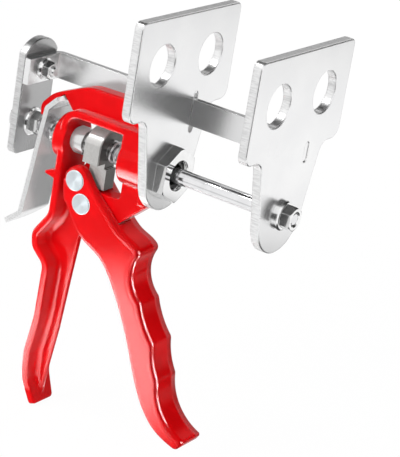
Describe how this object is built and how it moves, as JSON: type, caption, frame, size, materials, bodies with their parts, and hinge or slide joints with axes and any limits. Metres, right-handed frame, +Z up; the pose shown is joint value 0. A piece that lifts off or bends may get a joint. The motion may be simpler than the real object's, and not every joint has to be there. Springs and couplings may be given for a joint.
{
  "type": "brake caliper spreader",
  "caption": "Hand-operated brake caliper spreader with two wide steel jaw plates, a squeeze trigger, a push rod and a release lever.",
  "frame": {"origin": "push rod axis where it meets the front face of the fixed jaw plate", "axes": "+X along the push rod towards the moving jaw, +Z up through the jaw plates, +Y across the tool towards the guide bar side"},
  "size_m": [0.2043, 0.102, 0.2743],
  "materials": {
    "red_coat": "gloss powder coat",
    "plate_steel": "satin plated",
    "rod_steel": "ground and polished",
    "nut_steel": "bright plated",
    "rivet_steel": "turned face",
    "turned_steel": "turned",
    "sintered_steel": "matte",
    "spring_steel": "drawn wire"
  },
  "bodies": {
    "frame": {"body_casting": "red_coat", "rear_guide_bush": "turned_steel", "front_guide_bush": "turned_steel", "fixed_jaw_plate": "plate_steel", "clamp_nut": "nut_steel", "dog_spring": "spring_steel", "release_spring": "spring_steel"},
    "jaw_carriage": {"push_rod": "rod_steel", "moving_jaw_plate": "plate_steel", "jaw_washer": "nut_steel", "jaw_nut": "nut_steel", "guide_bar": "plate_steel", "rear_link": "plate_steel", "link_bolt": "nut_steel", "link_bolt_nut": "nut_steel", "rod_inner_nut": "nut_steel", "rod_outer_nut": "nut_steel"},
    "trigger": {"trigger": "red_coat", "pivot_rivet": "rivet_steel", "drive_rivet": "rivet_steel"},
    "dog": {"drive_dog": "sintered_steel"},
    "release": {"release_lever": "plate_steel"}
  },
  "joints": [
    {"name": "jaw_slide", "type": "slide", "parent": "frame", "child": "jaw_carriage", "axis": [1, 0, 0], "range_m": [-0.065, 0.005]},
    {"name": "trigger_squeeze", "type": "hinge", "parent": "frame", "child": "trigger", "pos_m": [-0.0495, 0, -0.034], "axis": [0, 1, 0], "range_deg": [0, 28], "stiffness_Nm_per_rad": 0.4, "springref_deg": -34.38},
    {"name": "dog_slide", "type": "slide", "parent": "frame", "child": "dog", "axis": [1, 0, 0], "range_m": [0, 0.0071], "deforming": ["dog_spring"]},
    {"name": "release_swing", "type": "hinge", "parent": "frame", "child": "release", "pos_m": [-0.0772, 0, 0.0231], "axis": [0, -1, 0], "range_deg": [0, 8.5], "stiffness_Nm_per_rad": 0.3, "springref_deg": -8.59, "deforming": ["release_spring"]}
  ],
  "couplings": [
    {"joint": "dog_slide", "follows": "trigger_squeeze", "m_per_rad": 0.01432}
  ]
}
